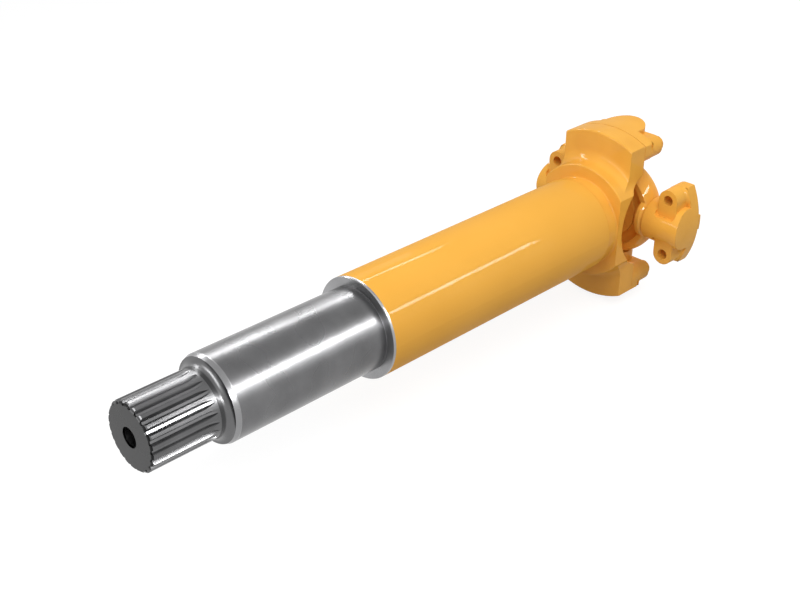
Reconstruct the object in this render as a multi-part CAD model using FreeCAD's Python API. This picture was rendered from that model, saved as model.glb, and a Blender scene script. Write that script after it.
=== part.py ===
import FreeCAD, Part
import math
import os

# Drive shaft with a wing-bearing universal joint. All sizes are in millimetres.
# The shaft axis is +Y, from the splined end to the joint, X is to the right and Z is up.
# The origin is the middle of the splined end face.

# Places along the shaft
SPLINE_END_Y = 0.0
JOURNAL_START_Y = 85.9
JOURNAL_LENGTH = 191.8
COLLAR_LENGTH = 2.6
TUBE_LENGTH = 354.1
TUBE_TO_JOINT = 86.1

# Splined end
SPLINE_TEETH = 22
SPLINE_PITCH_D = 69.85
SPLINE_TIP_D = 73.0
SPLINE_ROOT_D = 65.4
SPLINE_PRESSURE_ANGLE = 30.0
SPLINE_FULL_LENGTH = 61.0
SPLINE_CUTTER_R = 26.0
SPLINE_END_CHAMFER = 3.0
NECK_FILLET = 8.0
SPLINE_RUN_OUT_ANGLE = 60.0
END_HOLE_D = 21.6
END_HOLE_DEPTH = 46.0

# Journal and tube
JOURNAL_D = 93.7
JOURNAL_LEAD = 4.6
JOURNAL_LEAD_DEPTH = 1.75
UNDERCUT = 1.2
TUBE_D = 114.3
TUBE_WALL = 9.5
TUBE_EDGE = 0.8
TUBE_END_ROUND = 4.0
SPIGOT_LENGTH = 24.0
SPIGOT_FIT = 0.05

# Tube yoke
COLLAR_STEP = 13.85
YOKE_NECK_LENGTH = 15.1
NECK_STEP = 2.65
NECK_ROOT = 2.0
FLAT_INSET = 0.65
YOKE_CORE_D = 62.0
YOKE_FLOOR = 16.0
LOBE_HALF_WIDTH = 49.2
LOBE_THICKNESS = 27.0
LOBE_FILLET = 13.0
LOBE_EDGE = 2.2
LOBE_SEAM = 1.2
LOBE_FLARE = 15.5
COLLAR_EDGE = 1.6
SADDLE_CLEARANCE = 1.5
LOBE_OVERLAP = 6.4

# Whole joint
SWING_D = 216.0
BASE_OFFSET = 20.5
SPOT_OFFSET = 15.3

# Bearing blocks
BOLT_SETBACK = 23.1
BOLT_SPACING = 71.4
BOLT_HOLE_D = 12.6
EAR_D = 26.0
EAR_DRAFT = 0.8
PLATE_THICKNESS = 15.2
BARREL_D = 53.0
BARREL_LENGTH = 50.5
CUP_WALL_END = 7.5
POCKET_WIDTH = 27.0
POCKET_START = 13.6
POCKET_CORNER = 4.0
EAR_FOOT = 4.0
PLATE_ROUND = 5.0
KEY_WIDTH = 19.0
KEY_HEIGHT = 9.0
KEY_RUN_IN = 12.9
KEY_SETBACK = 3.5
KEY_FIT = 0.1

# Spider
TRUNNION_D = 29.0
TRUNNION_EDGE = 1.5
SHOULDER_GAP = 1.5
BOSS_D = 53.0
BOSS_CHAMFER = 3.5
BOSS_LENGTH = 12.0
RING_PROUD = 5.5
RING_CROWN = 4.5
RING_HALF_LENGTH = 14.8
RING_LIP = 7.0
GROOVE_WIDTH = 13.4
HUB_HALF_LENGTH = 13.0
GROOVE_DEPTH = 6.5
GREASE_HOLE_D = 5.0

# Needle rollers, seals and thrust washers
NEEDLE_D = 3.0
NEEDLE_END_GAP = 2.8
NEEDLE_FIT = 0.03
NEEDLE_SPACE = 0.04
WASHER_THICKNESS = 2.2
WASHER_END_FIT = 0.1
WASHER_SIDE_FIT = 0.2
WASHER_HOLE_D = 10.0
SEAL_D = 38.0
SEAL_LENGTH = 6.0
SEAL_LIP_D = 41.0
SEAL_TO_NEEDLES = 1.0
SEAL_LIP = 1.0
SEAL_FIT = 0.05

# Bolts and grease fitting
BOLT_D = 12.0
BOLT_GRIP_IN_LOBE = 18.0
BOLT_HEAD_ACROSS = 18.0
BOLT_HEAD_HEIGHT = 7.5
BOLT_FLANGE_D = 22.0
BOLT_FLANGE_HEIGHT = 2.0
BOLT_CROWN_FLARE = 2.0
BOLT_CROWN_TRIM = 1.2
TAPPED_FIT = 0.05
TAPPED_SPARE = 2.0
FITTING_THREAD_D = 6.0
FITTING_HEX = 8.0
FITTING_HEIGHT = 12.0
FITTING_HEX_HEIGHT = 4.0
FITTING_NECK_D = 4.3
FITTING_HEAD_D = 6.3
FITTING_TIP_D = 2.6
FITTING_HEAD_LOW = 4.4
FITTING_HEAD_MID = 2.6
FITTING_HEAD_TOP = 0.8

# Values that follow from the ones above
JOURNAL_END_Y = JOURNAL_START_Y + JOURNAL_LENGTH
TUBE_START_Y = JOURNAL_END_Y + COLLAR_LENGTH
TUBE_END_Y = TUBE_START_Y + TUBE_LENGTH
JOINT_Y = TUBE_END_Y + TUBE_TO_JOINT
SEAT_Y = JOINT_Y - BASE_OFFSET
LOBE_FRONT_Y = SEAT_Y - LOBE_THICKNESS
COLLAR_FRONT_Y = TUBE_END_Y + YOKE_NECK_LENGTH
TUBE_BORE_D = TUBE_D - 2 * TUBE_WALL
SPIGOT_D = TUBE_BORE_D - 2 * SPIGOT_FIT
SWING_R = SWING_D / 2
BOLT_REACH = SWING_R - BOLT_SETBACK
BOLT_Q = BOLT_SPACING / 2
KEY_START = BOLT_REACH - KEY_RUN_IN
KEY_REACH = SWING_R - KEY_SETBACK
BARREL_INNER_FACE = SWING_R - BARREL_LENGTH
CUP_FLOOR = SWING_R - CUP_WALL_END
SHOULDER_REACH = BARREL_INNER_FACE - SHOULDER_GAP
BOSS_START = SHOULDER_REACH - BOSS_LENGTH
TRUNNION_REACH = CUP_FLOOR - WASHER_THICKNESS - WASHER_END_FIT
RACE_R = TRUNNION_D / 2 + NEEDLE_FIT + NEEDLE_D
NEEDLE_START = BARREL_INNER_FACE + SEAL_LENGTH + SEAL_TO_NEEDLES
NEEDLE_LENGTH = CUP_FLOOR - WASHER_THICKNESS - NEEDLE_END_GAP - NEEDLE_START
RING_MID_R = SHOULDER_REACH + RING_PROUD
RING_RIM_R = RING_MID_R - RING_CROWN
RING_LIP_R = RING_RIM_R - RING_LIP
HUB_R = RING_LIP_R - GROOVE_WIDTH
SADDLE_R = RING_MID_R + SADDLE_CLEARANCE
COLLAR_R = TUBE_D / 2 + COLLAR_STEP
NECK_R = TUBE_D / 2 - NECK_STEP
YOKE_FLAT_HALF = TUBE_D / 2 - FLAT_INSET
EVERYTHING = 400.0
CUTTER_OVERRUN = 1.0
SAME_PLACE = 1e-6

AXIS_X = FreeCAD.Vector(1, 0, 0)
AXIS_Y = FreeCAD.Vector(0, 1, 0)
AXIS_Z = FreeCAD.Vector(0, 0, 1)


def point(x, y, z=0.0):
    return FreeCAD.Vector(x, y, z)


def wire(steps):
    # Each step is an end point, or a pair of a point on an arc and the arc's end point.
    edges = []
    here = steps[0]
    for step in steps[1:] + [steps[0]]:
        if isinstance(step, tuple):
            edges.append(Part.Arc(here, step[0], step[1]).toShape())
            here = step[1]
        elif here.distanceToPoint(step) > SAME_PLACE:
            edges.append(Part.LineSegment(here, step).toShape())
            here = step
    return Part.Wire(edges)


def turned(steps):
    # A solid turned about the Y axis from a profile in which x is the radius.
    return Part.Face(wire(steps)).revolve(point(0, 0), AXIS_Y, 360)


def rod(start, direction, radius, length):
    return Part.makeCylinder(radius, length, start, direction)


def box(low, high):
    size = high.sub(low)
    return Part.makeBox(size.x, size.y, size.z, low)


def corner_arc(before, corner, after, radius):
    # The start, middle and end of a round of this radius at a right or open corner.
    to_before = before.sub(corner).normalize()
    to_after = after.sub(corner).normalize()
    half = to_before.getAngle(to_after) / 2
    run = radius / math.tan(half)
    centre_run = radius / math.sin(half)
    bisector = to_before.add(to_after).normalize()
    middle = corner.add(bisector.multiply(centre_run - radius))
    start = corner.add(to_before.multiply(run))
    return start, (middle, corner.add(to_after.multiply(run)))


def rounded(points, radii):
    # A closed outline with rounded corners, as steps for wire().
    steps = []
    count = len(points)
    for index, corner in enumerate(points):
        radius = radii.get(index, 0)
        if radius:
            steps.extend(corner_arc(points[index - 1], corner, points[(index + 1) % count], radius))
        else:
            steps.append(corner)
    return steps


def at_joint(shape):
    placed = shape.copy()
    placed.translate(point(0, JOINT_Y))
    return placed


def turned_about_joint(shape, axis, angle):
    placed = shape.copy()
    placed.rotate(point(0, 0), axis, angle)
    return placed


# Splined shaft

def involute_offset(radius):
    # Half the angle that a tooth space takes up at this radius.
    pitch_r = SPLINE_PITCH_D / 2
    base_r = pitch_r * math.cos(math.radians(SPLINE_PRESSURE_ANGLE))

    def involute(at_radius):
        angle = math.acos(min(1.0, base_r / at_radius))
        return math.tan(angle) - angle

    half_space = math.pi / (2 * SPLINE_TEETH)
    return half_space - involute(pitch_r) + involute(radius)


def groove_outline(y):
    # One tooth space in the XZ plane, centred on +Z, with involute sides.
    root_r = SPLINE_ROOT_D / 2
    radii = [root_r, SPLINE_PITCH_D / 2, SPLINE_TIP_D / 2 + CUTTER_OVERRUN]
    right = []
    for radius in radii:
        angle = involute_offset(radius)
        right.append(point(radius * math.sin(angle), y, radius * math.cos(angle)))
    left = [point(-p.x, p.y, p.z) for p in right]
    return wire([left[2], (left[1], left[0]), right[0], (right[1], right[2])])


def groove_cutter():
    start_y = SPLINE_END_Y - CUTTER_OVERRUN
    full_y = SPLINE_END_Y + SPLINE_FULL_LENGTH
    straight = Part.Face(groove_outline(start_y)).extrude(point(0, full_y - start_y))
    centre = point(0, full_y, SPLINE_ROOT_D / 2 + SPLINE_CUTTER_R)
    run_out = Part.Face(groove_outline(full_y)).revolve(centre, AXIS_X, SPLINE_RUN_OUT_ANGLE)
    return straight.fuse(run_out)


def splined_shaft():
    tip_r = SPLINE_TIP_D / 2
    end_r = tip_r - SPLINE_END_CHAMFER
    journal_r = JOURNAL_D / 2
    lead_r = journal_r - JOURNAL_LEAD_DEPTH
    collar_r = TUBE_D / 2
    spigot_end = TUBE_START_Y + SPIGOT_LENGTH
    corners = [
        point(0, SPLINE_END_Y),
        point(end_r, SPLINE_END_Y),
        point(tip_r, SPLINE_END_Y + SPLINE_END_CHAMFER),
        point(tip_r, JOURNAL_START_Y),
        point(lead_r, JOURNAL_START_Y),
        point(journal_r, JOURNAL_START_Y + JOURNAL_LEAD),
        point(journal_r, JOURNAL_END_Y - 2 * UNDERCUT),
        point(journal_r - UNDERCUT / 2, JOURNAL_END_Y - UNDERCUT),
        point(journal_r - UNDERCUT / 2, JOURNAL_END_Y),
        point(collar_r - TUBE_EDGE, JOURNAL_END_Y),
        point(collar_r, JOURNAL_END_Y + TUBE_EDGE),
        point(collar_r, TUBE_START_Y),
        point(SPIGOT_D / 2, TUBE_START_Y),
        point(SPIGOT_D / 2, spigot_end),
        point(0, spigot_end),
    ]
    body = turned(rounded(corners, {3: NECK_FILLET}))
    mouth = point(0, SPLINE_END_Y - CUTTER_OVERRUN)
    hole = rod(mouth, AXIS_Y, END_HOLE_D / 2, END_HOLE_DEPTH + CUTTER_OVERRUN)
    cutter = groove_cutter()
    grooves = []
    for index in range(SPLINE_TEETH):
        angle = (index + 0.5) * 360 / SPLINE_TEETH
        grooves.append(turned_about_joint(cutter, AXIS_Y, angle))
    return body.cut([hole] + grooves)


def drive_tube():
    outer_r = TUBE_D / 2
    bore_r = TUBE_BORE_D / 2
    corners = [
        point(bore_r, TUBE_START_Y),
        point(outer_r, TUBE_START_Y),
        point(outer_r, TUBE_END_Y),
        point(bore_r, TUBE_END_Y),
    ]
    return turned(rounded(corners, {2: TUBE_END_ROUND}))


# Tube yoke, with a collar, two flats, a saddle round the spider and two lobes

def yoke_collar():
    spigot_r = SPIGOT_D / 2
    core_r = YOKE_CORE_D / 2
    collar_r = COLLAR_R
    spigot_start = TUBE_END_Y - SPIGOT_LENGTH
    core_end = JOINT_Y - SADDLE_R - YOKE_FLOOR
    neck_r = NECK_R
    corners = [
        point(0, core_end),
        point(core_r, core_end),
        point(core_r, spigot_start),
        point(spigot_r, spigot_start),
        point(spigot_r, TUBE_END_Y),
        point(neck_r, TUBE_END_Y),
        point(neck_r, COLLAR_FRONT_Y),
        point(collar_r, COLLAR_FRONT_Y),
        point(collar_r, SEAT_Y),
        point(0, SEAT_Y),
    ]
    body = turned(rounded(corners, {6: NECK_ROOT, 7: COLLAR_EDGE}))
    cuts = []
    for side in (-1, 1):
        inner = side * YOKE_FLAT_HALF
        outer = side * EVERYTHING
        low = point(min(inner, outer), COLLAR_FRONT_Y, -EVERYTHING)
        high = point(max(inner, outer), SEAT_Y, EVERYTHING)
        cuts.append(box(low, high))
    return body.cut(cuts)


def lobe_sides():
    # The sides of both lobes, seen along the shaft. Each foot flares out to the corner of the flat.
    flat_z = math.sqrt(COLLAR_R ** 2 - YOKE_FLAT_HALF ** 2)
    step = YOKE_FLAT_HALF - LOBE_HALF_WIDTH
    flare_r = (step ** 2 + LOBE_FLARE ** 2) / (2 * step)
    half_turn = math.atan(step / LOBE_FLARE)
    top_z = flat_z + LOBE_FLARE
    mid_x = LOBE_HALF_WIDTH + flare_r * (1 - math.cos(half_turn))
    mid_z = top_z - flare_r * math.sin(half_turn)
    steps = []
    for side in (1, -1):
        upward = [
            point(side * YOKE_FLAT_HALF, 0, side * -flat_z),
            point(side * YOKE_FLAT_HALF, 0, side * flat_z),
            (point(side * mid_x, 0, side * mid_z), point(side * LOBE_HALF_WIDTH, 0, side * top_z)),
            point(side * LOBE_HALF_WIDTH, 0, side * EVERYTHING),
            point(side * -LOBE_HALF_WIDTH, 0, side * EVERYTHING),
            point(side * -LOBE_HALF_WIDTH, 0, side * top_z),
            (point(side * -mid_x, 0, side * mid_z), point(side * -YOKE_FLAT_HALF, 0, side * flat_z)),
        ]
        steps.extend(upward)
    return Part.Face(wire(steps)).extrude(point(0, SEAT_Y))


def yoke_lobes():
    collar_r = COLLAR_R
    inner_r = YOKE_CORE_D / 2
    corners = [
        point(inner_r, COLLAR_FRONT_Y + LOBE_OVERLAP),
        point(collar_r, COLLAR_FRONT_Y + LOBE_OVERLAP),
        point(collar_r, LOBE_FRONT_Y),
        point(SWING_R, LOBE_FRONT_Y),
        point(SWING_R, SEAT_Y),
        point(inner_r, SEAT_Y),
    ]
    disc = turned(rounded(corners, {2: LOBE_FILLET, 3: LOBE_EDGE, 4: LOBE_SEAM}))
    return disc.common(lobe_sides())


def tapped_hole(side, x):
    depth = BOLT_GRIP_IN_LOBE + TAPPED_SPARE
    start = point(x, SEAT_Y - depth, side * BOLT_REACH)
    return rod(start, AXIS_Y, BOLT_D / 2 + TAPPED_FIT, depth + CUTTER_OVERRUN)


def keyway(side):
    low_z = side * (KEY_START - CUTTER_OVERRUN)
    high_z = side * (SWING_R + CUTTER_OVERRUN)
    half = KEY_WIDTH / 2 + KEY_FIT
    low = point(-half, SEAT_Y - KEY_HEIGHT - KEY_FIT, min(low_z, high_z))
    high = point(half, SEAT_Y + CUTTER_OVERRUN, max(low_z, high_z))
    reach = rod(point(0, 0), AXIS_Y, KEY_REACH + KEY_FIT, 2 * EVERYTHING)
    return box(low, high).common(reach)


def tube_yoke():
    body = yoke_collar().fuse(yoke_lobes())
    saddle = rod(point(-EVERYTHING, JOINT_Y), AXIS_X, SADDLE_R, 2 * EVERYTHING)
    cuts = [saddle]
    for side in (-1, 1):
        cuts.append(keyway(side))
        cuts.append(tapped_hole(side, -BOLT_Q))
        cuts.append(tapped_hole(side, BOLT_Q))
    return body.cut(cuts).removeSplitter()


# Bearing block, drawn for the right side: the trunnion along +X, the bolts along Y,
# the heads towards -Y, and the bolting face towards +Y.

def block_plan(start, length, front_round=0):
    # The outline of plate and ears, as a body from this Y on.
    ear_r = EAR_D / 2 + EAR_DRAFT
    far = SWING_R + CUTTER_OVERRUN
    top = BOLT_Q + ear_r
    outer = box(point(BOLT_REACH, start, -top), point(far, start + length, top))
    if front_round:
        front_edges = [edge for edge in outer.Edges if edge.BoundBox.YMax - start < SAME_PLACE
                       and edge.BoundBox.ZLength < SAME_PLACE]
        outer = outer.makeFillet(front_round, front_edges)
    inner = box(point(BOLT_REACH - ear_r, start, -BOLT_Q), point(far, start + length, BOLT_Q))
    ears = []
    for side in (-1, 1):
        ears.append(rod(point(BOLT_REACH, start, side * BOLT_Q), AXIS_Y, ear_r, length))
    return outer.fuse([inner] + ears)


def block_plate():
    return block_plan(BASE_OFFSET - PLATE_THICKNESS, PLATE_THICKNESS, PLATE_ROUND)


def ear_feet():
    # The hollow round where each ear runs out onto the plate.
    front = BASE_OFFSET - PLATE_THICKNESS
    start = front - EAR_FOOT
    rise = (start + SPOT_OFFSET) / (BASE_OFFSET + SPOT_OFFSET)
    ear_r = EAR_D / 2 + EAR_DRAFT * rise
    bend = EAR_FOOT * math.sqrt(0.5)
    foot = turned([
        point(0, start),
        point(ear_r, start),
        (point(ear_r + EAR_FOOT - bend, start + bend), point(ear_r + EAR_FOOT, front)),
        point(0, front),
    ])
    feet = []
    for side in (-1, 1):
        placed = foot.copy()
        placed.translate(point(BOLT_REACH, 0, side * BOLT_Q))
        feet.append(placed)
    return feet[0].fuse(feet[1]).common(block_plan(start, EAR_FOOT))


def block_ears():
    ear_r = EAR_D / 2
    height = BASE_OFFSET + SPOT_OFFSET
    low = point(BOLT_REACH - ear_r, -SPOT_OFFSET, -BOLT_Q)
    high = point(BOLT_REACH + ear_r, BASE_OFFSET, BOLT_Q)
    web = box(low, high)
    ears = []
    for side in (-1, 1):
        foot = point(BOLT_REACH, -SPOT_OFFSET, side * BOLT_Q)
        ears.append(Part.makeCone(ear_r, ear_r + EAR_DRAFT, height, foot, AXIS_Y))
    return web.fuse(ears)


def block_key():
    half = KEY_WIDTH / 2
    bar = box(point(KEY_START, BASE_OFFSET, -half), point(SWING_R, BASE_OFFSET + KEY_HEIGHT, half))
    reach = rod(point(0, 0), AXIS_Y, KEY_REACH, EVERYTHING)
    return bar.common(reach)


def wrench_pocket(side):
    # A flat-floored recess in the barrel, level with the ear's face, that lets a wrench onto the bolt.
    low_x = BOLT_REACH - POCKET_WIDTH / 2
    high_x = BOLT_REACH + POCKET_WIDTH / 2
    near_z = side * POCKET_START
    far_z = side * EVERYTHING
    corners = [
        point(low_x, -EVERYTHING, near_z),
        point(high_x, -EVERYTHING, near_z),
        point(high_x, -EVERYTHING, far_z),
        point(low_x, -EVERYTHING, far_z),
    ]
    outline = wire(rounded(corners, {0: POCKET_CORNER, 1: POCKET_CORNER}))
    return Part.Face(outline).extrude(point(0, EVERYTHING - SPOT_OFFSET))


def bearing_block():
    barrel = rod(point(BARREL_INNER_FACE, 0), AXIS_X, BARREL_D / 2, SWING_R)
    body = block_plate().fuse([block_ears(), ear_feet(), barrel])
    swing = rod(point(0, -EVERYTHING), AXIS_Y, SWING_R, EVERYTHING + BASE_OFFSET)
    body = body.common(swing)
    cuts = []
    for side in (-1, 1):
        front = point(BOLT_REACH, -EVERYTHING, side * BOLT_Q)
        cuts.append(wrench_pocket(side))
        cuts.append(rod(front, AXIS_Y, BOLT_HOLE_D / 2, 2 * EVERYTHING))
    mouth = point(BARREL_INNER_FACE - CUTTER_OVERRUN, 0)
    cuts.append(rod(mouth, AXIS_X, RACE_R, CUP_FLOOR - mouth.x))
    cuts.append(rod(mouth, AXIS_X, SEAL_D / 2, SEAL_LENGTH + CUTTER_OVERRUN))
    return body.cut(cuts).fuse(block_key()).removeSplitter()


# Pieces inside each block, drawn for the right side

def needle_rollers():
    pitch_r = RACE_R - NEEDLE_D / 2
    count = int(2 * math.pi * pitch_r / (NEEDLE_D + NEEDLE_SPACE))
    rollers = []
    for index in range(count):
        angle = 2 * math.pi * index / count
        middle = point(NEEDLE_START, pitch_r * math.cos(angle), pitch_r * math.sin(angle))
        rollers.append(rod(middle, AXIS_X, NEEDLE_D / 2, NEEDLE_LENGTH))
    return Part.makeCompound(rollers)


def seal():
    bore_r = TRUNNION_D / 2 + SEAL_FIT
    inner = BARREL_INNER_FACE - SEAL_LIP
    lip = rod(point(inner, 0), AXIS_X, SEAL_LIP_D / 2, SEAL_LIP)
    body = rod(point(inner, 0), AXIS_X, SEAL_D / 2, SEAL_LENGTH + SEAL_LIP)
    through = SEAL_LENGTH + SEAL_LIP + 2 * CUTTER_OVERRUN
    bore = rod(point(inner - CUTTER_OVERRUN, 0), AXIS_X, bore_r, through)
    return body.fuse(lip).cut(bore).removeSplitter()


def thrust_washer():
    start = point(CUP_FLOOR - WASHER_THICKNESS, 0)
    disc = rod(start, AXIS_X, RACE_R - WASHER_SIDE_FIT, WASHER_THICKNESS)
    hole = rod(start, AXIS_X, WASHER_HOLE_D / 2, WASHER_THICKNESS)
    return disc.cut(hole)


def block_bolts():
    # Both bolts of an upper or lower block, drawn for the right side.
    shank_length = BASE_OFFSET + SPOT_OFFSET + BOLT_GRIP_IN_LOBE
    bolts = []
    for side in (-1, 1):
        face = point(BOLT_REACH, -SPOT_OFFSET, side * BOLT_Q)
        shank = rod(face, AXIS_Y, BOLT_D / 2, shank_length)
        flange = rod(face, point(0, -1), BOLT_FLANGE_D / 2, BOLT_FLANGE_HEIGHT)
        corner_r = BOLT_HEAD_ACROSS / math.sqrt(3)
        corners = []
        for index in range(6):
            angle = math.radians(60 * index)
            corners.append(face.add(point(corner_r * math.cos(angle), 0, corner_r * math.sin(angle))))
        hexagon = Part.Face(wire(corners)).extrude(point(0, -BOLT_HEAD_HEIGHT))
        crown = Part.makeCone(
            corner_r + BOLT_CROWN_FLARE, corner_r - BOLT_CROWN_TRIM, BOLT_HEAD_HEIGHT, face, point(0, -1))
        bolts.append(shank.fuse([flange, hexagon.common(crown)]).removeSplitter())
    return Part.makeCompound(bolts)


# Spider: a ring with a hub, four bosses and four trunnions

def spider_ring():
    rim_r = RING_RIM_R
    lip_r = RING_LIP_R
    hub_r = HUB_R
    hub = HUB_HALF_LENGTH
    half = RING_HALF_LENGTH
    web = half - GROOVE_DEPTH
    steps = [
        point(0, -hub),
        point(hub_r, -hub),
        point(hub_r, -web),
        point(lip_r, -web),
        point(lip_r, -half),
        point(rim_r, -half),
        (point(RING_MID_R, 0), point(rim_r, half)),
        point(lip_r, half),
        point(lip_r, web),
        point(hub_r, web),
        point(hub_r, hub),
        point(0, hub),
    ]
    return turned(steps)


def spider_boss():
    # Boss and trunnion of the right side, turned about X.
    boss_r = BOSS_D / 2
    trunnion_r = TRUNNION_D / 2
    corners = [
        point(BOSS_START, 0),
        point(BOSS_START, boss_r - BOSS_CHAMFER),
        point(BOSS_START + BOSS_CHAMFER, boss_r),
        point(SHOULDER_REACH - BOSS_CHAMFER, boss_r),
        point(SHOULDER_REACH, boss_r - BOSS_CHAMFER),
        point(SHOULDER_REACH, trunnion_r),
        point(TRUNNION_REACH - TRUNNION_EDGE, trunnion_r),
        point(TRUNNION_REACH, trunnion_r - TRUNNION_EDGE),
        point(TRUNNION_REACH, 0),
    ]
    return Part.Face(wire(corners)).revolve(point(0, 0), AXIS_X, 360)


def spider():
    ring = spider_ring()
    boss = spider_boss()
    facing = rod(point(SHOULDER_REACH, 0), AXIS_X, BOSS_D / 2 + CUTTER_OVERRUN, SWING_R)
    bosses = []
    facings = []
    for index in range(4):
        bosses.append(turned_about_joint(boss, AXIS_Y, 90 * index))
        facings.append(turned_about_joint(facing, AXIS_Y, 90 * index))
    body = ring.cut(facings).fuse(bosses)
    across = TRUNNION_REACH + CUTTER_OVERRUN
    passage_x = rod(point(-across, 0), AXIS_X, GREASE_HOLE_D / 2, 2 * across)
    passage_z = rod(point(0, 0, -across), AXIS_Z, GREASE_HOLE_D / 2, 2 * across)
    feed = rod(point(0, 0), AXIS_Y, FITTING_THREAD_D / 2 + TAPPED_FIT, RING_HALF_LENGTH)
    return body.cut([passage_x, passage_z, feed]).removeSplitter()


def grease_fitting():
    face = HUB_HALF_LENGTH
    thread_depth = HUB_HALF_LENGTH - GREASE_HOLE_D / 2 - CUTTER_OVERRUN
    stem_r = FITTING_THREAD_D / 2
    thread = rod(point(0, face - thread_depth), AXIS_Y, stem_r, thread_depth)
    corners = []
    for index in range(6):
        angle = math.radians(60 * index)
        radius = FITTING_HEX / math.sqrt(3)
        corners.append(point(radius * math.cos(angle), face, radius * math.sin(angle)))
    hexagon = Part.Face(wire(corners)).extrude(point(0, FITTING_HEX_HEIGHT))
    neck_r = FITTING_NECK_D / 2
    head_r = FITTING_HEAD_D / 2
    top = face + FITTING_HEIGHT
    nipple = turned([
        point(0, face),
        point(neck_r, face),
        point(neck_r, top - FITTING_HEAD_LOW),
        (point(head_r, top - FITTING_HEAD_MID), point(neck_r, top - FITTING_HEAD_TOP)),
        point(FITTING_TIP_D / 2, top),
        point(0, top),
    ])
    return thread.fuse([hexagon, nipple]).removeSplitter()


# The four bearings: each is turned from the right-hand one about the joint centre

def to_right(shape):
    return at_joint(shape)


def to_left(shape):
    return at_joint(turned_about_joint(shape, AXIS_Y, 180))


def to_upper(shape):
    return at_joint(turned_about_joint(shape, point(1, 0, 1), 180))


def to_lower(shape):
    return at_joint(turned_about_joint(shape, point(1, 0, -1), 180))


def write(name, shape):
    if not shape.isValid():
        print("not valid:", name)
    shape.exportStep("parts/" + name + ".step")
    print(name, len(shape.Solids), "solids", round(shape.Volume / 1000, 1), "cm3")


def main():
    os.makedirs("parts", exist_ok=True)
    write("splined_shaft", splined_shaft())
    write("drive_tube", drive_tube())
    write("tube_yoke", tube_yoke())
    write("spider", at_joint(spider()))
    write("grease_fitting", at_joint(grease_fitting()))
    block = bearing_block()
    rollers = needle_rollers()
    ring_seal = seal()
    washer = thrust_washer()
    places = {"upper": to_upper, "lower": to_lower, "right": to_right, "left": to_left}
    for side, place in places.items():
        write(side + "_bearing_block", place(block))
        write(side + "_needle_rollers", place(rollers))
        write(side + "_seal", place(ring_seal))
        write(side + "_thrust_washer", place(washer))
    bolts = block_bolts()
    write("upper_bearing_bolts", to_upper(bolts))
    write("lower_bearing_bolts", to_lower(bolts))


main()
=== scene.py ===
import bpy
from mathutils import Matrix, Vector

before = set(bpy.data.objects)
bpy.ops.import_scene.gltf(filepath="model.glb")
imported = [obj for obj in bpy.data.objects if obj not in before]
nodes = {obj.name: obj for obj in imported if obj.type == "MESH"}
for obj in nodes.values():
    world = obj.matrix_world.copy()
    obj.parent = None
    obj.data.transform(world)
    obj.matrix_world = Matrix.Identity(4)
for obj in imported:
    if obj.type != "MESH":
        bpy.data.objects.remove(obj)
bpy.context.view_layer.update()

for leftOver in ("Cube", "Light", "Camera"):  # what a new Blender file may bring along
    if leftOver in bpy.data.objects:
        bpy.data.objects.remove(bpy.data.objects[leftOver])
print("frame loaded with", len(nodes), "nodes")


# Camera, at the photograph's place

photoCamera = {
    "place": (0.8247, -0.4635, 0.6546),
    "right": (0.69841, 0.71569, 0.0),
    "up": (-0.34990, 0.34144, 0.87235),
    "lens": 55.72,
    "sensorWidth": 36.0,
}


def makeCamera(settings):
    cameraData = bpy.data.cameras.new("photoCamera")
    cameraData.lens = settings["lens"]
    cameraData.sensor_width = settings["sensorWidth"]
    camera = bpy.data.objects.new("photoCamera", cameraData)
    bpy.context.scene.collection.objects.link(camera)
    right = Vector(settings["right"]).normalized()
    up = Vector(settings["up"]).normalized()
    turn = Matrix((right, up, right.cross(up))).transposed()
    camera.matrix_world = Matrix.Translation(settings["place"]) @ turn.to_4x4()
    bpy.context.scene.camera = camera


makeCamera(photoCamera)
print("camera placed")


# Lamps. The two softboxes light the surfaces and stay out of reflections, the back one for the far side
# of the joint. The strips and panels do the reverse: the strips draw the bright streaks along paint and
# steel, the panels soften one side of each. The front lamp does both: it lies across the shaft, low and
# wide, for what faces the splined end.

lamps = {
    "mainSoftbox": {
        "place": (0.82, 0.20, 1.76), "aim": (0.0, 0.35, 0.0), "along": (0.0, 1.0, 0.0),
        "size": (1.6, 2.2), "power": 35.0, "inReflections": False, "onSurfaces": True,
    },
    "rightStrip": {
        "place": (1.300, 0.60, 0.765), "aim": (0.0, 0.60, 0.0), "along": (-0.11, 1.0, 0.15),
        "size": (0.15, 2.74), "power": 53.0, "inReflections": True, "onSurfaces": False,
    },
    "rightPanel": {
        "place": (1.43, 1.05, 0.48), "aim": (0.0, 1.05, 0.0), "along": (0.0, 1.0, 0.0),
        "size": (0.50, 1.9), "power": 2.4, "inReflections": True, "onSurfaces": False,
    },
    "leftStrip": {
        "place": (-1.154, 0.60, 0.986), "aim": (0.0, 0.60, 0.0), "along": (0.28, 1.0, 0.25),
        "size": (0.12, 2.32), "power": 22.0, "inReflections": True, "onSurfaces": False,
    },
    "leftPanel": {
        "place": (-1.27, 1.00, 0.80), "aim": (0.0, 1.00, 0.0), "along": (0.0, 1.0, 0.0),
        "size": (0.45, 1.1), "power": 2.8, "inReflections": True, "onSurfaces": False,
    },
    "frontLamp": {
        "place": (-0.29, -1.18, 0.73), "aim": (0.0, 0.0, 0.03), "along": (1.0, 0.0, 0.0),
        "size": (0.36, 1.40), "power": 13.0, "inReflections": True, "onSurfaces": True,
    },
    "backSoftbox": {
        "place": (-0.50, 2.50, 0.60), "aim": (0.0, 0.72, 0.0), "along": (1.0, 0.0, 0.0),
        "size": (1.2, 1.2), "power": 14.0, "inReflections": False, "onSurfaces": True,
    },
}


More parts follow.
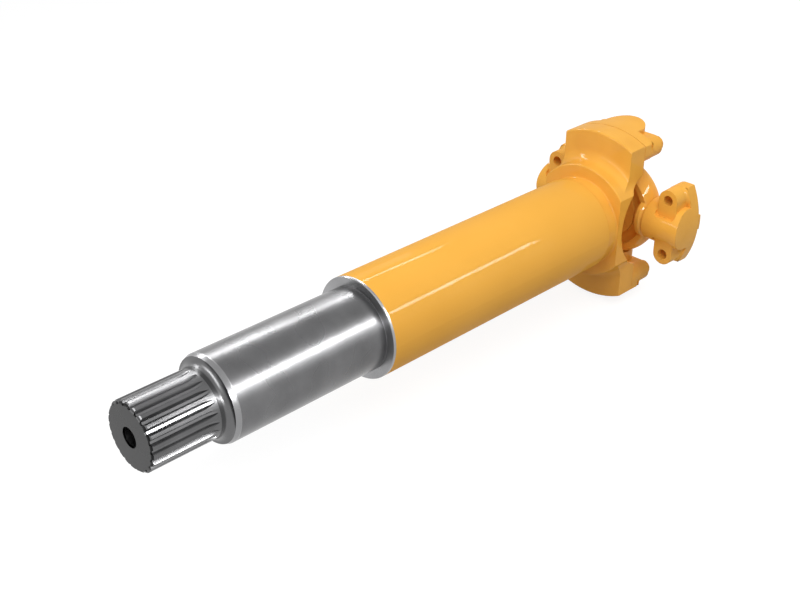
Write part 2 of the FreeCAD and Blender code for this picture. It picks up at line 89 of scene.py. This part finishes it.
def makeLamp(name, settings):
    lampData = bpy.data.lights.new(name, "AREA")
    lampData.shape = "RECTANGLE"
    lampData.size, lampData.size_y = settings["size"]
    lampData.energy = settings["power"]
    lamp = bpy.data.objects.new(name, lampData)
    bpy.context.scene.collection.objects.link(lamp)
    place = Vector(settings["place"])
    back = (place - Vector(settings["aim"])).normalized()
    across = Vector(settings["along"]).cross(back).normalized()
    turn = Matrix((across, back.cross(across), back)).transposed()
    lamp.matrix_world = Matrix.Translation(place) @ turn.to_4x4()
    lamp.visible_glossy = settings["inReflections"]
    lamp.visible_diffuse = settings["onSurfaces"]
    lamp.visible_camera = False


for lampName, lampSettings in lamps.items():
    makeLamp(lampName, lampSettings)
print("lamps placed")


# Small helpers for node trees

firstColour, secondColour, mixedColour = 6, 7, 2  # places of a Mix node's colour sockets


def addNode(tree, kind, inputs=None, **settings):
    node = tree.nodes.new(kind)
    for key, value in settings.items():
        setattr(node, key, value)
    for key, value in (inputs or {}).items():
        if isinstance(value, bpy.types.NodeSocket):
            tree.links.new(value, node.inputs[key])
        else:
            node.inputs[key].default_value = value
    return node


def mixColours(tree, factor, first, second, blend="MIX"):
    mix = addNode(
        tree, "ShaderNodeMix", {"Factor": factor, firstColour: first, secondColour: second},
        data_type="RGBA", blend_type=blend)
    return mix.outputs[mixedColour]


def emptyMaterial(name):
    material = bpy.data.materials.new(name)
    material.use_nodes = True
    material.node_tree.nodes.clear()
    return material


def startGroup(name, inputs, output):
    tree = bpy.data.node_groups.new(name, "ShaderNodeTree")
    for label, kind in inputs.items():
        tree.interface.new_socket(label, in_out="INPUT", socket_type=kind)
    tree.interface.new_socket(output, in_out="OUTPUT", socket_type="NodeSocketFloat")
    return tree, addNode(tree, "NodeGroupInput"), addNode(tree, "NodeGroupOutput")


# Surround: plain white to the camera and in reflections, softer as a light

surround = {"white": (1.0, 1.0, 1.0, 1.0), "seenStrength": 1.0, "lightStrength": 0.30}


def seenDirectly(tree):
    rays = addNode(tree, "ShaderNodeLightPath").outputs
    cameraOrGlossy = addNode(tree, "ShaderNodeMath", {
        0: rays["Is Camera Ray"], 1: rays["Is Glossy Ray"]}, operation="MAXIMUM")
    seen = addNode(tree, "ShaderNodeMath", {
        0: cameraOrGlossy.outputs[0], 1: rays["Is Transmission Ray"]}, operation="MAXIMUM")
    return seen.outputs[0]


def makeSurround(settings):
    world = bpy.data.worlds.new("whiteSurround")
    world.use_nodes = True
    tree = world.node_tree
    tree.nodes.clear()
    light = addNode(tree, "ShaderNodeBackground", {
        "Color": settings["white"], "Strength": settings["lightStrength"]})
    seen = addNode(tree, "ShaderNodeBackground", {
        "Color": settings["white"], "Strength": settings["seenStrength"]})
    mix = addNode(tree, "ShaderNodeMixShader", {
        0: seenDirectly(tree), 1: light.outputs[0], 2: seen.outputs[0]})
    addNode(tree, "ShaderNodeOutputWorld", {"Surface": mix.outputs[0]})
    world.cycles.sampling_method = "NONE"  # so reflections see the white surround at full strength
    bpy.context.scene.world = world


makeSurround(surround)


# Floor: it keeps the shadow and glows white where it is seen

floorSettings = {
    "height": -0.112, "halfSize": 6.0,
    "colour": (0.50, 0.50, 0.50, 1.0),
    "shadowColour": (0.20, 0.20, 0.20, 1.0), "seenStrength": 0.88,
}


def makeFloor(settings):
    half, height = settings["halfSize"], settings["height"]
    corners = [
        (-half, -half, height), (half, -half, height),
        (half, half, height), (-half, half, height),
    ]
    mesh = bpy.data.meshes.new("paleFloor")
    mesh.from_pydata(corners, [], [(0, 1, 2, 3)])
    floor = bpy.data.objects.new("paleFloor", mesh)
    bpy.context.scene.collection.objects.link(floor)
    material = emptyMaterial("palePaper")
    material.cycles.emission_sampling = "NONE"
    tree = material.node_tree
    plain = addNode(tree, "ShaderNodeBsdfDiffuse", {"Color": settings["colour"]})
    shadow = addNode(tree, "ShaderNodeBsdfDiffuse", {"Color": settings["shadowColour"]})
    glow = addNode(tree, "ShaderNodeEmission", {"Strength": settings["seenStrength"]})
    seen = addNode(tree, "ShaderNodeAddShader", {0: shadow.outputs[0], 1: glow.outputs[0]})
    mix = addNode(tree, "ShaderNodeMixShader", {
        0: seenDirectly(tree), 1: plain.outputs[0], 2: seen.outputs[0]})
    addNode(tree, "ShaderNodeOutputMaterial", {"Surface": mix.outputs[0]})
    mesh.materials.append(material)


makeFloor(floorSettings)
print("surround and floor made")


# Shared effects

mottleSettings = {"noiseLow": 0.32, "noiseHigh": 0.68}  # the span of noise that makes the whole change
toolMarkSettings = {"scale": 1.0, "detail": 3.0}
skinSettings = {"detail": 4.0}


def makeMottle(settings):
    # slow cloudy change between two values
    tree, given, result = startGroup("mottle", {
        "Place": "NodeSocketVector", "Scale": "NodeSocketFloat", "Detail": "NodeSocketFloat",
        "Low": "NodeSocketFloat", "High": "NodeSocketFloat"}, "Value")
    noise = addNode(tree, "ShaderNodeTexNoise", {
        "Vector": given.outputs["Place"], "Scale": given.outputs["Scale"],
        "Detail": given.outputs["Detail"]})
    spread = addNode(tree, "ShaderNodeMapRange", {
        "Value": noise.outputs["Fac"],
        "From Min": settings["noiseLow"], "From Max": settings["noiseHigh"],
        "To Min": given.outputs["Low"], "To Max": given.outputs["High"]})
    tree.links.new(spread.outputs["Result"], result.inputs["Value"])
    return tree


def makeToolMarks(settings):
    # fine rings left round the shaft by turning and grinding
    tree, given, result = startGroup("toolMarks", {
        "Place": "NodeSocketVector", "Rings per metre": "NodeSocketFloat",
        "Wander": "NodeSocketFloat"}, "Height")
    stretch = addNode(tree, "ShaderNodeCombineXYZ", {
        "X": given.outputs["Wander"], "Y": given.outputs["Rings per metre"],
        "Z": given.outputs["Wander"]})
    stretched = addNode(tree, "ShaderNodeVectorMath", {
        0: given.outputs["Place"], 1: stretch.outputs[0]}, operation="MULTIPLY")
    noise = addNode(tree, "ShaderNodeTexNoise", {
        "Vector": stretched.outputs[0], "Scale": settings["scale"], "Detail": settings["detail"]})
    tree.links.new(noise.outputs["Fac"], result.inputs["Height"])
    return tree


def makeSkin(settings):
    # the fine unevenness of paint, casting skin or rubber
    tree, given, result = startGroup("skin", {
        "Place": "NodeSocketVector", "Scale": "NodeSocketFloat",
        "Roughness": "NodeSocketFloat"}, "Height")
    noise = addNode(tree, "ShaderNodeTexNoise", {
        "Vector": given.outputs["Place"], "Scale": given.outputs["Scale"],
        "Detail": settings["detail"], "Roughness": given.outputs["Roughness"]})
    tree.links.new(noise.outputs["Fac"], result.inputs["Height"])
    return tree


mottle = makeMottle(mottleSettings)
toolMarks = makeToolMarks(toolMarkSettings)
skin = makeSkin(skinSettings)


def addEffect(tree, group, inputs):
    return addNode(tree, "ShaderNodeGroup", inputs, node_tree=group).outputs[0]


def addMottle(tree, place, scale, detail, span=(0.0, 1.0)):
    low, high = span
    return addEffect(tree, mottle, {
        "Place": place, "Scale": scale, "Detail": detail, "Low": low, "High": high})


# Paint: a plain colour that doesn't shine by itself, under a thin clear coat that does

def makePaint(name, settings):
    material = emptyMaterial(name)
    tree = material.node_tree
    place = addNode(tree, "ShaderNodeTexCoord").outputs["Object"]
    patches = addMottle(tree, place, settings["patchScale"], settings["patchDetail"])
    colour = mixColours(tree, patches, settings["deep"], settings["light"])
    gloss = addMottle(tree, place, settings["glossScale"], settings["glossDetail"], settings["gloss"])
    height = addEffect(tree, skin, {
        "Place": place, "Scale": settings["skinScale"], "Roughness": settings["skinRoughness"]})
    edge = addNode(
        tree, "ShaderNodeBevel", {"Radius": settings["edgeRadius"]}, samples=settings["edgeSamples"])
    bump = addNode(tree, "ShaderNodeBump", {
        "Strength": settings["skinStrength"], "Distance": settings["skinDepth"],
        "Height": height, "Normal": edge.outputs[0]})
    shader = addNode(tree, "ShaderNodeBsdfPrincipled", {
        "Base Color": colour, "Normal": bump.outputs[0],
        "Specular IOR Level": settings["baseShine"], "Roughness": settings["roughness"],
        "Coat Weight": gloss, "Coat Roughness": settings["coatRoughness"]})
    addNode(tree, "ShaderNodeOutputMaterial", {"Surface": shader.outputs[0]})
    return material


tubePaintSettings = {
    "deep": (0.84, 0.415, 0.062, 1.0), "light": (0.89, 0.450, 0.072, 1.0),
    "patchScale": 7.0, "patchDetail": 3.0,
    "gloss": (0.11, 0.15), "glossScale": 14.0, "glossDetail": 2.0,
    "skinScale": 650.0, "skinRoughness": 0.5, "skinStrength": 0.10, "skinDepth": 0.0002,
    "edgeRadius": 0.0006, "edgeSamples": 6,
    "baseShine": 0.0, "roughness": 0.40, "coatRoughness": 0.03,
}
castPaintSettings = {
    "deep": (0.82, 0.395, 0.058, 1.0), "light": (0.88, 0.445, 0.070, 1.0),
    "patchScale": 22.0, "patchDetail": 3.0,
    "gloss": (0.22, 0.30), "glossScale": 40.0, "glossDetail": 2.0,
    "skinScale": 420.0, "skinRoughness": 0.5, "skinStrength": 0.22, "skinDepth": 0.0003,
    "edgeRadius": 0.0013, "edgeSamples": 6,
    "baseShine": 0.0, "roughness": 0.45, "coatRoughness": 0.06,
}
tubePaint = makePaint("tubePaint", tubePaintSettings)
castPaint = makePaint("castPaint", castPaintSettings)


# Steel: tool marks all round, and on the shaft painted shade for each stretch and each distance from
# the axis, which sets how bright its reflections look

acrossShaft = (1.0, 0.0, 1.0)  # leaves out the distance along the shaft
steelDetail = {"smudges": 5.0, "polish": 1.0}


def makeRamp(tree, distance, stops, reach, interpolation):
    share = addNode(tree, "ShaderNodeMapRange", {"Value": distance, "From Max": reach})
    node = addNode(tree, "ShaderNodeValToRGB", {"Fac": share.outputs["Result"]})
    ramp = node.color_ramp
    ramp.interpolation = interpolation
    for number, (start, level) in enumerate(stops):
        if number < len(ramp.elements):
            step = ramp.elements[number]
        else:
            step = ramp.elements.new(start / reach)
        step.position = start / reach
        step.color = (level, level, level, 1.0)
    return node.outputs["Color"]


# darkens each stretch by its painted shade, so its reflections look as bright as given
def paintStretchShade(tree, along, colour, settings):
    paintedShade = makeRamp(tree, along, settings["paintedShadeBands"], settings["bandReach"], "CONSTANT")
    return mixColours(tree, 1.0, colour, paintedShade, "MULTIPLY")


# darkens the teeth with painted shade that dims their reflections, most at the tips
def paintToothShade(tree, place, along, colour, settings):
    across = addNode(tree, "ShaderNodeVectorMath", {0: place, 1: acrossShaft}, operation="MULTIPLY")
    radius = addNode(tree, "ShaderNodeVectorMath", {0: across.outputs[0]}, operation="LENGTH")
    paintedShade = makeRamp(
        tree, radius.outputs["Value"], settings["grooves"], settings["grooveReach"], "LINEAR")
    behindEnd = addNode(
        tree, "ShaderNodeMath", {0: along, 1: settings["grooveStart"]}, operation="GREATER_THAN")
    return mixColours(tree, behindEnd.outputs[0], colour, paintedShade, "MULTIPLY")


def makeSteel(name, settings):
    material = emptyMaterial(name)
    tree = material.node_tree
    place = addNode(tree, "ShaderNodeTexCoord").outputs["Object"]
    smudges = addMottle(tree, place, settings["smudgeScale"], steelDetail["smudges"])
    colour = mixColours(tree, smudges, settings["dark"], settings["bright"])
    # painted shade along the shaft and across its teeth
    if "paintedShadeBands" in settings:
        along = addNode(tree, "ShaderNodeSeparateXYZ", {0: place}).outputs["Y"]
        colour = paintStretchShade(tree, along, colour, settings)
        colour = paintToothShade(tree, place, along, colour, settings)
    polish = addMottle(tree, place, settings["polishScale"], steelDetail["polish"], settings["polish"])
    height = addEffect(tree, toolMarks, {
        "Place": place, "Rings per metre": settings["rings"], "Wander": settings["ringWander"]})
    bump = addNode(tree, "ShaderNodeBump", {
        "Strength": settings["ringStrength"], "Distance": settings["ringDepth"], "Height": height})
    shader = addNode(tree, "ShaderNodeBsdfPrincipled", {
        "Base Color": colour, "Metallic": 1.0, "Roughness": polish, "Normal": bump.outputs[0]})
    addNode(tree, "ShaderNodeOutputMaterial", {"Surface": shader.outputs[0]})
    return material


endFaceDepth = 0.0006  # the end face's painted shade reaches this far in

shaftSteelSettings = {
    "dark": (0.56, 0.56, 0.57, 1.0), "bright": (0.74, 0.74, 0.755, 1.0),
    "smudgeScale": 26.0, "polishScale": 20.0, "polish": (0.25, 0.31),
    "rings": 2600.0, "ringWander": 3.0, "ringStrength": 0.02, "ringDepth": 0.00006,
    # painted shade for each stretch, which sets how bright its reflections look, from each distance
    # along the shaft on
    "bandReach": 0.5,
    "paintedShadeBands": [
        (0.0, 0.052),  # end face
        (endFaceDepth, 0.44),  # spline
        (0.0760, 0.20),  # neck
        (0.0855, 0.36),  # lead
        (0.0906, 0.21),  # journal
        (0.2762, 0.48),  # ring
    ],
    # painted shade across the teeth, behind the end face, by the distance from the axis: it dims their
    # reflections, most at the tooth tip
    "grooveStart": endFaceDepth, "grooveReach": 0.06,
    "grooves": [
        (0.0, 0.58), (0.0335, 0.58),  # hole and groove floor
        (0.0362, 0.42), (0.0368, 0.42),  # tooth tip
        (0.0372, 1.0),  # all further out
    ],
}
bearingSteelSettings = {
    "dark": (0.34, 0.34, 0.35, 1.0), "bright": (0.44, 0.44, 0.45, 1.0),
    "smudgeScale": 60.0, "polishScale": 80.0, "polish": (0.12, 0.22),
    "rings": 5200.0, "ringWander": 3.0, "ringStrength": 0.08, "ringDepth": 0.00003,
}
fittingSteelSettings = {
    "dark": (0.36, 0.34, 0.26, 1.0), "bright": (0.48, 0.45, 0.36, 1.0),
    "smudgeScale": 140.0, "polishScale": 160.0, "polish": (0.22, 0.36),
    "rings": 3000.0, "ringWander": 3.0, "ringStrength": 0.10, "ringDepth": 0.00004,
}
shaftSteel = makeSteel("shaftSteel", shaftSteelSettings)
bearingSteel = makeSteel("bearingSteel", bearingSteelSettings)
fittingSteel = makeSteel("fittingSteel", fittingSteelSettings)


# Rubber of the seals

sealRubberSettings = {
    "black": (0.012, 0.012, 0.013, 1.0), "worn": (0.030, 0.029, 0.028, 1.0),
    "patchScale": 90.0, "patchDetail": 3.0, "dull": (0.45, 0.65), "dullDetail": 2.0,
    "skinScale": 1500.0, "skinRoughness": 0.6, "skinStrength": 0.2, "skinDepth": 0.0001,
}


def makeSealRubber(settings):
    material = emptyMaterial("sealRubber")
    tree = material.node_tree
    place = addNode(tree, "ShaderNodeTexCoord").outputs["Object"]
    patches = addMottle(tree, place, settings["patchScale"], settings["patchDetail"])
    colour = mixColours(tree, patches, settings["black"], settings["worn"])
    dull = addMottle(tree, place, settings["patchScale"], settings["dullDetail"], settings["dull"])
    height = addEffect(tree, skin, {
        "Place": place, "Scale": settings["skinScale"], "Roughness": settings["skinRoughness"]})
    bump = addNode(tree, "ShaderNodeBump", {
        "Strength": settings["skinStrength"], "Distance": settings["skinDepth"], "Height": height})
    shader = addNode(tree, "ShaderNodeBsdfPrincipled", {
        "Base Color": colour, "Roughness": dull, "Normal": bump.outputs[0]})
    addNode(tree, "ShaderNodeOutputMaterial", {"Surface": shader.outputs[0]})
    return material


sealRubber = makeSealRubber(sealRubberSettings)
print("finishes made")


# Each piece gets its finish

finishes = {
    "splined_shaft": shaftSteel,
    "drive_tube": tubePaint,
    "tube_yoke": castPaint,
    "spider": castPaint,
    "grease_fitting": fittingSteel,
    "upper_bearing_bolts": castPaint,
    "lower_bearing_bolts": castPaint,
}
for side in ("upper", "lower", "right", "left"):
    finishes[side + "_bearing_block"] = castPaint
    finishes[side + "_needle_rollers"] = bearingSteel
    finishes[side + "_thrust_washer"] = bearingSteel
    finishes[side + "_seal"] = sealRubber

for nodeName, finish in finishes.items():
    mesh = nodes[nodeName].data
    mesh.materials.clear()
    mesh.materials.append(finish)
print("finishes given to", len(finishes), "pieces")

bpy.context.scene.view_settings.view_transform = "Standard"
